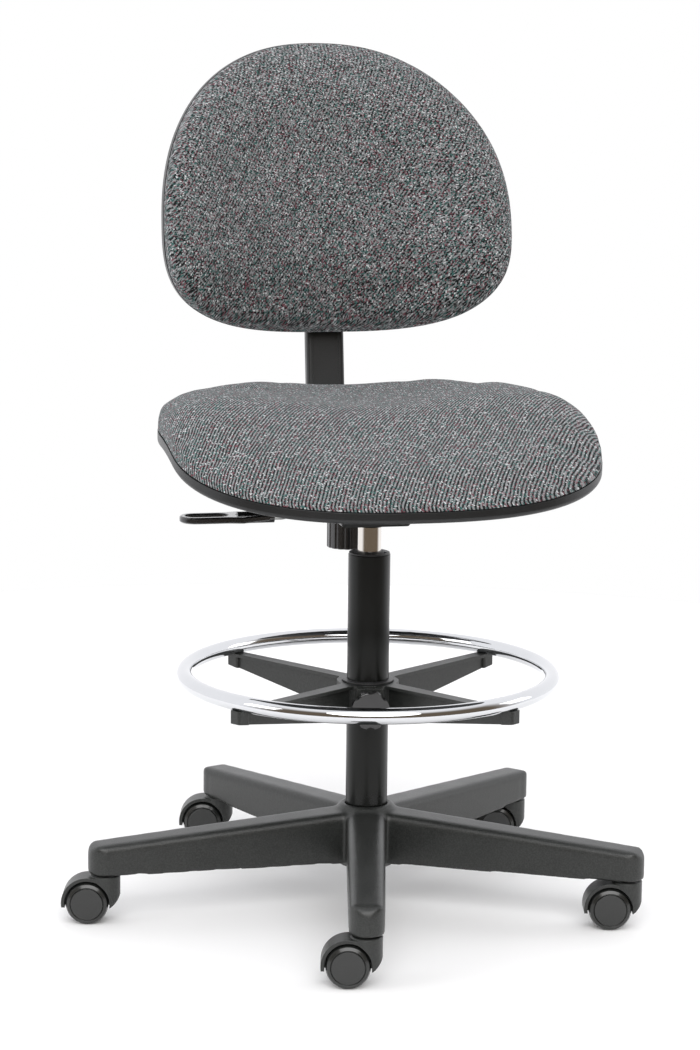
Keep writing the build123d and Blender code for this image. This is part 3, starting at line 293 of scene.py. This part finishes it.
# %% [markdown]
# ## Metals
# The black steel is powder coated: satin, with the faint orange-peel of powder that has flowed.
# Chrome is almost a mirror, with slow waves left by polishing. Bare fixings are zinc plated, and
# drawn or turned, so their grain is stretched along one direction.


# %% Metal finishes
def coated_steel(name, colour, rough):
    paint = Paint(name, Specular_IOR_Level=0.3)
    rounded = paint.soft_edges(0.0007)
    peel = paint.noise(0.0022, detail=1.5)
    clouds = paint.noise(0.09)
    worn = paint.edge_mask(rounded)
    paint.set(
        Base_Color=paint.mix(worn * 0.4 + clouds * 0.25, colour, [v * 2.4 for v in colour]),
        Roughness=clouds * 0.12 + peel * 0.06 + (rough - 0.09),
        Normal=paint.bump(peel, 0.00009, 0.5, under=rounded),
    )
    return paint


def bright_metal(name, colour, rough, wave, stretch=(1, 1, 1), edge=0.0004):
    paint = Paint(name, Metallic=1.0)
    rounded = paint.soft_edges(edge)
    mapped = paint.node("ShaderNodeMapping", {}, {"Vector": paint.place, "Scale": stretch})
    where = Val(paint, mapped.outputs[0])
    lines = paint.noise(0.0016, detail=2.0, where=where)
    clouds = paint.noise(0.06)
    paint.set(
        Base_Color=paint.mix(clouds * 0.5 + lines * 0.2, colour, [v * 0.82 for v in colour]),
        Roughness=clouds * rough * 0.5 + lines * rough * 0.5 + rough * 0.5,
        Normal=paint.bump(lines * 0.5 + clouds * 0.5, wave, 0.4, under=rounded),
    )
    return paint


black_paint = coated_steel("black_paint", (0.0038, 0.0043, 0.0038), 0.30)
ring_chrome = bright_metal("ring_chrome", (0.74, 0.75, 0.77), 0.03, 0.00002)
lift_chrome = bright_metal("lift_chrome", (0.83, 0.79, 0.74), 0.10, 0.00001, (1, 1, 0.05))
plain_steel = bright_metal("plain_steel", (0.62, 0.63, 0.62), 0.30, 0.00005, (1, 0.2, 1))
print("metal finishes ready")

# %% [markdown]
# ## Plywood
# The hidden seat and back boards show only from below or at a gap. Veneers are slow rings of grain
# across the board; real plywood also has thin dark glue lines through its thickness, which are not
# drawn.

# %% Plywood
plywood = Paint("plywood", Roughness=0.62)
grain_place = plywood.node("ShaderNodeMapping", {}, {"Vector": plywood.place, "Scale": (1, 0.08, 1)})
wood_grain = plywood.noise(0.006, detail=4.0, where=Val(plywood, grain_place.outputs[0]))
plywood.set(
    Base_Color=plywood.mix(wood_grain.between(0.35, 0.65), (0.50, 0.34, 0.19), (0.66, 0.49, 0.31)),
    Normal=plywood.bump(wood_grain, 0.0003, 0.4),
)
print("plywood ready")

# %% [markdown]
# ## Tweed
# The cloth is a coarse twill of black and pale grey yarns, with a few teal and maroon ones. A weave
# drawn on flat coordinates would smear down the cushion's sides, so it is drawn in space: three sets
# of slanted slabs, one to four millimetres thick, cut the surface into yarn-sized cells wherever it
# faces. Each cell takes its own random shade, and diagonal ribs run across them. A few cells are
# painted near-white: painted glints, highlights drawn into the colour.


# %% Tweed finish
def tweed(name, rib, yarn, swap, rib_share):
    """swap chooses the axes that lie in the cloth's plane, and rib_share how plainly ribs show."""
    paint = Paint(name, Roughness=0.95, Specular_IOR_Level=0.2, Sheen_Weight=0.12,
                  Sheen_Roughness=0.5)
    paint.set(Sheen_Tint=(0.75, 0.78, 0.8))
    wobble = paint.node("ShaderNodeTexNoise", {}, {"Vector": paint.place, "Scale": 14.0,
                                                   "Detail": 1.0})
    drift = paint.node("ShaderNodeVectorMath", {"operation": "SCALE"},
                       {0: Val(paint, wobble.outputs["Color"]), "Scale": 0.006})
    moved = paint.node("ShaderNodeVectorMath", {"operation": "ADD"},
                       {0: paint.place, 1: Val(paint, drift.outputs[0])})
    parts = paint.node("ShaderNodeSeparateXYZ", {}, {0: Val(paint, moved.outputs[0])})
    x, y, z = (Val(paint, parts.outputs[i]) for i in range(3))
    along, up = (x, y) if swap == "flat" else (x, z)
    across = z if swap == "flat" else y
    warp = (along + up * 0.15 + across * 0.5) / yarn
    weft = (up - along * 0.1 + across * 0.9) / (yarn * 1.1)
    diagonal = (up * 0.60 - along * 0.80 - across * 0.25) / rib
    slab = (along * 0.5 - up * 0.6 + across * 0.62) / (yarn * 2.3)
    cell = paint.node("ShaderNodeCombineXYZ", {}, {
        0: warp.math("FLOOR"), 1: weft.math("FLOOR"), 2: slab.math("FLOOR")})
    random = paint.node("ShaderNodeTexWhiteNoise", {}, {"Vector": Val(paint, cell.outputs[0])})
    shade = Val(paint, random.outputs["Value"])
    tint = paint.node("ShaderNodeSeparateColor", {}, {0: Val(paint, random.outputs["Color"])})
    hue = Val(paint, tint.outputs[1])
    twill = (diagonal * (2 * pi)).math("SINE") * 0.5 + 0.5
    thread = (warp * (2 * pi)).math("SINE") * 0.25 + (weft * (2 * pi)).math("SINE") * 0.25 + 0.5
    light = (twill * rib_share + shade * (0.9 - rib_share) + thread * 0.12).between(0.40, 0.66)
    grey = paint.mix(light, (0.003, 0.0035, 0.004), (0.30, 0.31, 0.32))
    teal = paint.mix(hue.between(0.86, 0.89), grey, (0.045, 0.135, 0.125))
    maroon = paint.mix(hue.between(0.10, 0.07), teal, (0.190, 0.060, 0.080))
    # near-white cells here are painted glints: highlights drawn into the cloth's colour, not yarn
    with_painted_glints = paint.mix(hue.between(0.60, 0.63) * hue.between(0.68, 0.65), maroon, (0.70, 0.72, 0.74))
    slub = paint.noise(0.03, detail=2.0)
    paint.set(
        Base_Color=paint.mix(slub * 0.22, with_painted_glints, (0.045, 0.047, 0.050)),
        Normal=paint.bump(twill * 0.5 + thread * 0.5, 0.0008, 0.9),
    )
    return paint


seat_tweed = tweed("seat_tweed", 0.0035, 0.0016, "flat", 0.60)
back_tweed = tweed("back_tweed", 0.0036, 0.0015, "upright", 0.30)
print("tweed ready")

# %% [markdown]
# ## Finish the solid parts
# Each solid part keeps its shape and takes the finish its own record names. That covers the lift,
# the mechanism, the bars, the fixings and the castors in one loop.

# %% Hand out the finishes
finishes = {
    "seat_fabric": seat_tweed, "shell_plastic": shell_plastic, "base_nylon": base_nylon,
    "black_paint": black_paint, "ring_chrome": ring_chrome, "lift_chrome": lift_chrome,
    "plain_steel": plain_steel, "knob_plastic": knob_plastic, "wheel_nylon": wheel_nylon,
    "plywood": plywood, "guide_nylon": guide_nylon, "stop_rubber": stop_rubber,
}
for entry in frame["record"]["subparts"]:
    mesh = nodes[entry["node"]].data
    mesh.materials.clear()
    mesh.materials.append(finishes[entry["material_slot"]].material)


def dress(piece, slot, body, *replaced, finish=None):
    """Gives a new piece its finish, its body and the solid parts it stands for."""
    piece.data.materials.clear()
    piece.data.materials.append((finish or finishes[slot]).material)
    if replaced:
        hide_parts(*replaced)
    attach(piece, body)
    print(piece.name, len(piece.data.polygons), "faces on", body)
    return piece


# %% [markdown]
# ## Cushion shapes
# Both cushions are rings of points: from the middle of the top out to the rim, round a soft edge,
# down the side and in again below. The outline is a blunt oval, and a height function says how the
# foam swells. The rings are then woven into one closed skin.


# %% Blunt ovals and ringed skins
def blunt_oval(half_width, low, high, widest, low_power, high_power, turn):
    """A point of the outline at an angle: blunter than an ellipse as the powers pass 2."""
    across, along = cos(turn), sin(turn)
    power, reach = (high_power, high - widest) if along > 0 else (low_power, widest - low)
    return (math.copysign(half_width * abs(across) ** (2 / power), across),
            widest + math.copysign(reach * abs(along) ** (2 / power), along))


def ringed_skin(name, rings, spokes, place):
    """A closed skin whose first and last rings shrink to a point; place gives each point."""
    points = [place(rings[0], 0)]
    for ring in rings[1:-1]:
        points += [place(ring, 2 * pi * (step + 0.5) / spokes) for step in range(spokes)]
    points.append(place(rings[-1], 0))
    faces = [(0, 1 + step, 1 + (step + 1) % spokes) for step in range(spokes)]
    for row in range(len(rings) - 3):
        start = 1 + row * spokes
        for step in range(spokes):
            after = (step + 1) % spokes
            faces.append((start + step, start + spokes + step, start + spokes + after, start + after))
    start, end = 1 + (len(rings) - 3) * spokes, len(points) - 1
    faces += [(end, start + (step + 1) % spokes, start + step) for step in range(spokes)]
    return face_outward(mesh_piece(name, points, faces))


CLOTH_FRAMES = 20


def stuff(cushion, pressure, most, free):
    """Fills a cushion by cloth simulation: it swells by at most `most` metres, only where free."""
    rest = [v.co.copy() for v in cushion.data.vertices]
    pins = cushion.vertex_groups.new(name="held")
    for v in cushion.data.vertices:
        pins.add([v.index], 0.0 if free(v.co) else 1.0, "REPLACE")
    only(cushion)
    cloth = cushion.modifiers.new("Cloth", "CLOTH")
    cloth.settings.use_pressure = True
    cloth.settings.uniform_pressure_force = pressure
    cloth.settings.vertex_group_mass = "held"
    cloth.settings.effector_weights.gravity = 0
    cloth.settings.quality = 6
    cloth.settings.tension_stiffness = cloth.settings.compression_stiffness = 30
    cloth.settings.bending_stiffness = 4
    cloth.point_cache.frame_start, cloth.point_cache.frame_end = 1, CLOTH_FRAMES
    for moment in range(1, CLOTH_FRAMES + 1):
        bpy.context.scene.frame_set(moment)
    bpy.ops.object.modifier_apply(modifier="Cloth")
    bpy.context.scene.frame_set(1)
    for v, at_rest in zip(cushion.data.vertices, rest):
        step = v.co - at_rest
        if step.length > most:
            v.co = at_rest + step * (most / step.length)
    cushion.vertex_groups.clear()
    return cushion


# %% [markdown]
# ## The seat cushion
# Moulded foam over a waterfall board: level behind, sloping down in front, where the cloth runs
# straight to the rim. The middle is a little lower than the sides at the back, so that it holds the
# sitter. The cloth is stretched over the foam and tucked in behind the shell's rim.

# %% Seat cushion
SHELL_RIM = 0.014
TUCK = 0.0003        # gap that keeps the cloth just off the rim
SEAT_HALF, SEAT_WIDEST_Y, SEAT_POWERS = 0.2515, -0.065, (2.5, 3.1)
seat_low, seat_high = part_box("seat_shell")
seat_level = seat_high.z - SHELL_RIM
KNEE_Y, KNEE_REACH, FRONT_LEVEL = -0.046, 0.045, 0.500
seat_slope = (seat_level - FRONT_LEVEL) / (KNEE_Y - seat_low.y)


def seat_underside(y):
    """Height of the shell's underside: level, then a soft knee, then a slope to the front."""
    ahead = KNEE_Y - y
    if ahead <= -KNEE_REACH:
        return seat_level
    if ahead >= KNEE_REACH:
        return seat_level - seat_slope * ahead
    return seat_level - seat_slope * (ahead + KNEE_REACH) ** 2 / (4 * KNEE_REACH)


def ease(value, low, high):
    """0 below low, 1 above high, smooth between."""
    share = min(1.0, max(0.0, (value - low) / (high - low)))
    return share * share * (3 - 2 * share)


FOAM_REAR, FOAM_LOSS = 0.0335, 0.014       # foam over the rear half, and how much less in front
EDGE_FRONT, EDGE_REAR_EXTRA = 0.005, 0.015  # upright part of the cushion's side
ROUND_REAR, ROUND_FRONT_EXTRA = 0.028, 0.085
WING_RISE, MIDDLE_SAG = 0.010, 0.006


def seat_point(ring, turn):
    """ring is (share of the way out, level): level 1 is the foam's top and 0 the rim."""
    out, level = ring
    edge_x, edge_y = blunt_oval(SEAT_HALF, seat_low.y + 0.001, seat_high.y - 0.001,
                                SEAT_WIDEST_Y, *SEAT_POWERS, turn)
    x, y = edge_x * out, SEAT_WIDEST_Y + (edge_y - SEAT_WIDEST_Y) * out
    rim = seat_underside(y) + SHELL_RIM + TUCK
    front = 1 - ease(y, -0.235, -0.01)
    full = FOAM_REAR - FOAM_LOSS * front
    inset = (1 - out) * math.hypot(edge_x, edge_y - SEAT_WIDEST_Y)
    share = min(1.0, inset / (ROUND_REAR + ROUND_FRONT_EXTRA * front))
    crown = (1 - (1 - share) ** 2.3) ** (1 / 2.1)
    side = EDGE_REAR_EXTRA * (1 - front) + EDGE_FRONT
    wing = WING_RISE * ease(abs(x), 0.0, 0.17) * ease(y, -0.20, 0.15) * ease(share, 0.2, 1.0)
    sag = -MIDDLE_SAG * (1 - ease(math.hypot(x, y - 0.04), 0.02, 0.16))
    height = side + (full - side) * crown + wing + sag * crown
    return (x, y, rim + height * level)


# rings crowd together towards the edge, where the foam turns over
SPOKES = 144
cushion_rings = [(0.0, 1.0)] + [(0.06 * k, 1.0) for k in range(1, 12)]
cushion_rings += [(share, 1.0) for share in (0.71, 0.76, 0.80, 0.84, 0.875, 0.905)]
cushion_rings += [(share, 1.0) for share in (0.93, 0.952, 0.97, 0.984, 0.994, 1.0)]
cushion_rings += [(1.0, level) for level in (0.6, 0.2, 0.0)]
cushion_rings += [(share, 0.0) for share in (0.97, 0.85, 0.6, 0.3, 0.0)]
seat_cover = ringed_skin("seat_cushion_cover", cushion_rings, SPOKES, seat_point)
print("seat cushion skin:", len(seat_cover.data.vertices), "points")

# %% [markdown]
# ## The back cushion
# The same skin stands upright here. It bends round the sitter, so every point is laid out on a flat
# outline and then wrapped about an upright axis in front of the chair, the way the shell is formed.

# %% Back cushion
BACK_AXIS_Y, BACK_BOTTOM, BACK_TOP, BACK_WIDEST = -0.228, 0.664, 1.019, 0.796
BACK_HALF, BACK_POWERS = 0.2155, (2.85, 2.25)
BACK_RIM_Y, BACK_RUN = 0.231, 0.084
BACK_EDGE, BACK_FOAM, BACK_ROUND, LUMBAR = 0.012, 0.029, 0.042, 0.004


def back_rim_y(z):
    """Depth of the shell's rim at a height, on the middle line: it bends back towards the top."""
    share = (z - BACK_BOTTOM) / (BACK_TOP - BACK_BOTTOM)
    return BACK_RIM_Y + BACK_RUN * share * abs(share)


def back_point(ring, turn):
    """ring is (share of the way out, level): level 1 is the foam's face and 0 the rim."""
    out, level = ring
    edge_x, edge_z = blunt_oval(BACK_HALF, BACK_BOTTOM + 0.0005, BACK_TOP - 0.0005,
                                BACK_WIDEST, *BACK_POWERS, turn)
    x, z = edge_x * out, BACK_WIDEST + (edge_z - BACK_WIDEST) * out
    inset = (1 - out) * math.hypot(edge_x, edge_z - BACK_WIDEST)
    share = min(1.0, inset / BACK_ROUND)
    crown = (1 - (1 - share) ** 2.2) ** (1 / 2.2)
    lumbar = LUMBAR * math.exp(-(((z - 0.76) / 0.07) ** 2))
    depth = (BACK_EDGE + BACK_FOAM * crown + lumbar * crown) * level
    radius = back_rim_y(z) - BACK_AXIS_Y - depth - TUCK
    return (x, BACK_AXIS_Y + math.sqrt(radius * radius - x * x), z)


back_cover = ringed_skin("back_cushion_cover", cushion_rings, SPOKES, back_point)
print("back cushion skin:", len(back_cover.data.vertices), "points")

# %% [markdown]
# ## Stuffing
# The foam pushes the cloth out a little more in the middle than at its held edges. A short cloth
# simulation with air pressure and no gravity gives that, with the tucked edge pinned. Each cushion
# is then divided finely for a smooth outline.


# %% Fill both cushions
def seat_free(p):
    """True where the seat's cloth stands clear of the shell's rim."""
    return p.z > seat_underside(p.y) + SHELL_RIM + 0.006


def back_free(p):
    """True where the back's cloth stands clear of the shell's rim."""
    return (p - Vector((0, BACK_AXIS_Y, p.z))).length < back_rim_y(p.z) - BACK_AXIS_Y - 0.010


PRESSURE, MOST_SWELL = 3.0, 0.006
for cover, free in ((seat_cover, seat_free), (back_cover, back_free)):
    stuff(cover, PRESSURE, MOST_SWELL, free)
    modify(cover, "SUBSURF", levels=2, render_levels=2)
    settle(cover, 60)
dress(seat_cover, "seat_fabric", "seat", "seat_cushion", finish=seat_tweed)
dress(back_cover, "seat_fabric", "backrest", "back_cushion", finish=back_tweed)

# %% [markdown]
# ## The foot ring's tube
# A length of steel tube is rolled into a hoop, welded at its ends and chromed. A polished curve
# shows every facet, so the hoop is rebuilt finely, with the slight bulge of its weld at the back.

# %% Foot ring
start_clean()
ring_centre = centre_of("footring_tube")
ring_low, ring_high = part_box("footring_tube")
ring_tube_r = (ring_high.z - ring_low.z) / 2
ring_r = (ring_high.x - ring_low.x) / 2 - ring_tube_r
bpy.ops.mesh.primitive_torus_add(location=ring_centre, major_radius=ring_r, minor_radius=ring_tube_r,
                                 major_segments=192, minor_segments=40)
ring = named("footring_hoop")
WELD_TURN, WELD_WIDTH, WELD_RISE = radians(62), 0.0035, 0.0004
for v in ring.data.vertices:
    turn = math.atan2(v.co.y, v.co.x)
    along = (turn - WELD_TURN) * ring_r
    spine = Vector((cos(turn) * ring_r, sin(turn) * ring_r, 0))
    v.co += (v.co - spine).normalized() * (WELD_RISE * math.exp(-((along / WELD_WIDTH) ** 2)) - 0.0001)
settle(ring, 60)
dress(ring, "ring_chrome", "footring", "footring_tube")

# %% [markdown]
# ## The star base's soft edges
# The base is one big moulding, and molten nylon leaves every corner round: at the arms' ends, in
# the crotches between them and round the hub. The solid model's corners are crisp, so a copy of
# its mesh is merged, rebuilt as a fine even skin and relaxed a little, which rounds them all.

# %% Star base
BASE_VOXEL, BASE_RELAX = 0.0024, 7
only(nodes["star_base"])
bpy.ops.object.duplicate()
moulding = named("star_base_moulding")
face_outward(moulding)
modify(moulding, "REMESH", mode="VOXEL", voxel_size=BASE_VOXEL, use_smooth_shade=True)
modify(moulding, "SMOOTH", factor=0.5, iterations=BASE_RELAX)
settle(moulding, 60)
dress(moulding, "base_nylon", "base", "star_base")

# %% [markdown]
# ## Stage, light and camera
# A pale round floor on white, a broad soft lamp above and in front, a weaker one at each side, and
# a surround for the chrome to mirror: bright behind the chair and dim and warm in front of it.

# %% Floor and surround
start_clean()
FLOOR_R = 1.7
bpy.ops.mesh.primitive_circle_add(vertices=128, radius=FLOOR_R, fill_type="NGON", location=(0, 0.3, 0))
floor = named("studio_floor")
settle(floor)
floor_paint = Paint("studio_paper", Roughness=0.9)
floor_tone = floor_paint.noise(1.5)
floor_paint.set(Base_Color=floor_paint.mix(floor_tone, (0.92, 0.92, 0.92), (0.95, 0.95, 0.95)))
floor.data.materials.append(floor_paint.material)

world = bpy.data.worlds.new("studio_surround")
bpy.context.scene.world = world
world.use_nodes = True
sky = world.node_tree


def sky_node(kind, settings, *values):
    node = sky.nodes.new(kind)
    for key, value in settings.items():
        setattr(node, key, value)
    for slot, value in zip(node.inputs, values):
        if isinstance(value, bpy.types.NodeSocket):
            sky.links.new(value, slot)
        elif value is not None:
            slot.default_value = value
    return node.outputs


way = sky_node("ShaderNodeSeparateXYZ", {}, sky_node("ShaderNodeTexCoord", {})["Generated"])
# bright behind the chair and overhead, dim and warm in front; only lamps and mirrors see this
BACK_GLOW, FRONT_GLOW = 1.1, 0.16
behind = sky_node("ShaderNodeMapRange", {"interpolation_type": "SMOOTHSTEP"}, way[1], -0.45, 0.1)[0]
above = sky_node("ShaderNodeMapRange", {"interpolation_type": "SMOOTHSTEP"}, way[2], 0.45, 0.85)[0]
lit = sky_node("ShaderNodeMath", {"operation": "MAXIMUM"}, behind, above)[0]
tint = sky_node("ShaderNodeMix", {"data_type": "RGBA"}, lit)
for slot, colour in ((6, (FRONT_GLOW, FRONT_GLOW * 0.8, FRONT_GLOW * 0.6, 1)),
                     (7, (BACK_GLOW, BACK_GLOW, BACK_GLOW * 1.02, 1))):
    tint[2].node.inputs[slot].default_value = colour
sight = sky_node("ShaderNodeLightPath", {})["Is Camera Ray"]
seen = sky_node("ShaderNodeMix", {"data_type": "RGBA"}, sight)
sky.links.new(tint[2], seen[2].node.inputs[6])
seen[2].node.inputs[7].default_value = (1, 1, 1, 1)
sky.links.new(seen[2], sky.nodes["Background"].inputs["Color"])
bpy.context.scene.view_settings.view_transform = "Standard"


# %% Lamps
def soft_lamp(name, place, target, size, power):
    data = bpy.data.lights.new(name, "AREA")
    data.shape, data.size, data.energy = "SQUARE", size, power
    lamp = bpy.data.objects.new(name, data)
    bpy.context.scene.collection.objects.link(lamp)
    lamp.location = place
    lamp.rotation_euler = (Vector(target) - Vector(place)).to_track_quat("-Z", "Y").to_euler()
    return lamp


soft_lamp("lamp_left", (-3.0, -0.6, 1.5), (0, 0, 0.5), 1.2, 14)
soft_lamp("lamp_right", (3.0, -0.2, 1.3), (0, 0, 0.5), 1.2, 10)
overhead = bpy.data.lights.new("lamp_overhead", "SUN")
overhead.energy, overhead.angle = 2.0, radians(50)
overhead_lamp = bpy.data.objects.new("lamp_overhead", overhead)
bpy.context.scene.collection.objects.link(overhead_lamp)
overhead_lamp.rotation_euler = Vector((0.2, 1.25, -0.9)).to_track_quat("-Z", "Y").to_euler()
print("lamps and floor ready")

# %% [markdown]
# ## Camera
# A long lens level with the top of the backrest, to the sitter's right, looking down by about ten
# degrees and tilted by less than one.

# %% Camera
LENS, EYE = 99.6, (-0.787, -3.297, 1.0415)
LOOK_DOWN, YAW, ROLL = 9.76, -13.03, 0.66
camera_data = bpy.data.cameras.new("camera")
camera_data.sensor_fit, camera_data.sensor_width = "AUTO", 36.0
camera_data.lens = LENS
camera = bpy.data.objects.new("camera", camera_data)
bpy.context.scene.collection.objects.link(camera)
camera.matrix_world = (
    Matrix.Translation(EYE)
    @ Matrix.Rotation(radians(YAW), 4, "Z")
    @ Matrix.Rotation(radians(90 - LOOK_DOWN), 4, "X")
    @ Matrix.Rotation(radians(ROLL), 4, "Z")
)
bpy.context.scene.camera = camera
bpy.context.view_layer.update()
print("camera at", [round(v, 3) for v in camera.matrix_world.translation])
